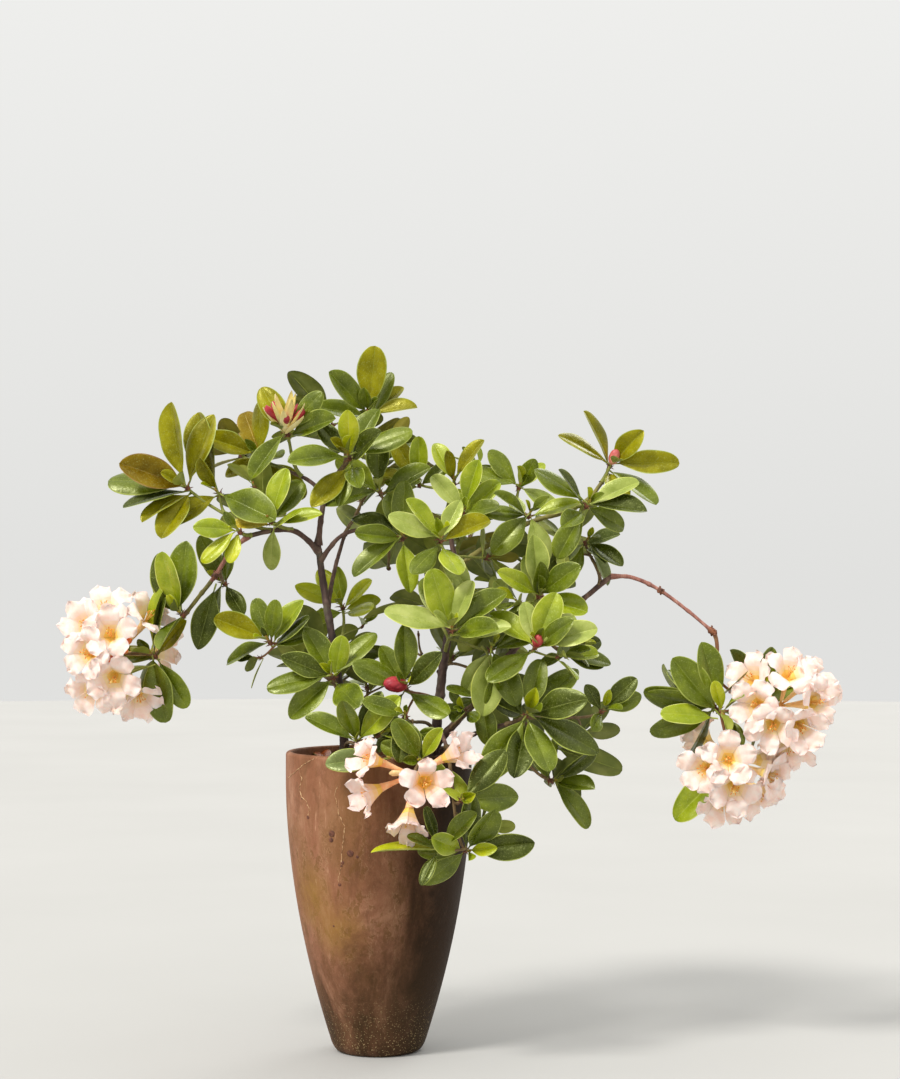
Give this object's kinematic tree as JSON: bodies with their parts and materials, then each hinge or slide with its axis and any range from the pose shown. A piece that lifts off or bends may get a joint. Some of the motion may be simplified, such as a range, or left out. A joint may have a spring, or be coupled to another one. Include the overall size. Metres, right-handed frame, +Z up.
{
  "type": "potted vireya rhododendron",
  "caption": "Evergreen flowering shrub with whorled leathery leaves and clusters of pale trumpet flowers in a tall tapered clay planter, standing on its flat base",
  "frame": {"origin": "centre of the pot's flat underside", "axes": "+Z up along the pot's axis, -Y towards the viewer of the picture, +X to the right, along the crown's widest spread"},
  "size_m": [0.9906, 0.5028, 0.9146],
  "materials": {
    "clay": "matt weathered terracotta",
    "potting_mix": "loose bark and soil mix",
    "bark": "finely fissured bark",
    "foliage": "glossy leathery leaves on green twigs",
    "blossom_and_leaves": "soft waxy petals with glossy leaves"
  },
  "bodies": {
    "root": {"bough_arching": "bark", "bough_back_left": "bark", "bough_back_low": "bark", "bough_back_middle": "bark", "bough_back_right": "bark", "bough_front": "bark", "bough_inner": "bark", "bough_left": "bark", "bough_left_hanging": "bark", "bough_low_right": "bark", "bough_right": "bark", "bough_top": "bark", "bough_upper_left": "bark", "bough_upper_middle": "bark", "bough_upper_right": "bark", "foliage_back_foot": "foliage", "foliage_back_left": "foliage", "foliage_back_low": "foliage", "foliage_back_middle": "foliage", "foliage_back_right": "foliage", "foliage_centre_low": "foliage", "foliage_crown_bud": "foliage", "foliage_crown_front": "foliage", "foliage_crown_left": "foliage", "foliage_crown_top": "foliage", "foliage_far_left": "foliage", "foliage_front_bloom": "blossom_and_leaves", "foliage_inner": "foliage", "foliage_left_bloom": "blossom_and_leaves", "foliage_left_elbow": "foliage", "foliage_left_hanging": "foliage", "foliage_left_inner": "foliage", "foliage_left_outer": "foliage", "foliage_left_shoulder": "foliage", "foliage_low_bud": "foliage", "foliage_low_right": "foliage", "foliage_lowest_right": "foliage", "foliage_middle": "foliage", "foliage_middle_front": "foliage", "foliage_middle_high": "foliage", "foliage_middle_low": "foliage", "foliage_pot_front": "foliage", "foliage_right_bloom": "blossom_and_leaves", "foliage_right_bud": "foliage", "foliage_right_knee": "foliage", "foliage_right_middle": "foliage", "foliage_right_shoulder": "foliage", "foliage_stem_foot": "foliage", "foliage_stem_high": "foliage", "foliage_stem_low": "foliage", "foliage_top_right": "foliage", "foliage_upper_middle": "foliage", "foliage_upper_right": "foliage", "foliage_upper_right_inner": "foliage", "pot": "clay", "soil": "potting_mix", "trunk_left": "bark", "trunk_right": "bark"}
  },
  "joints": []
}
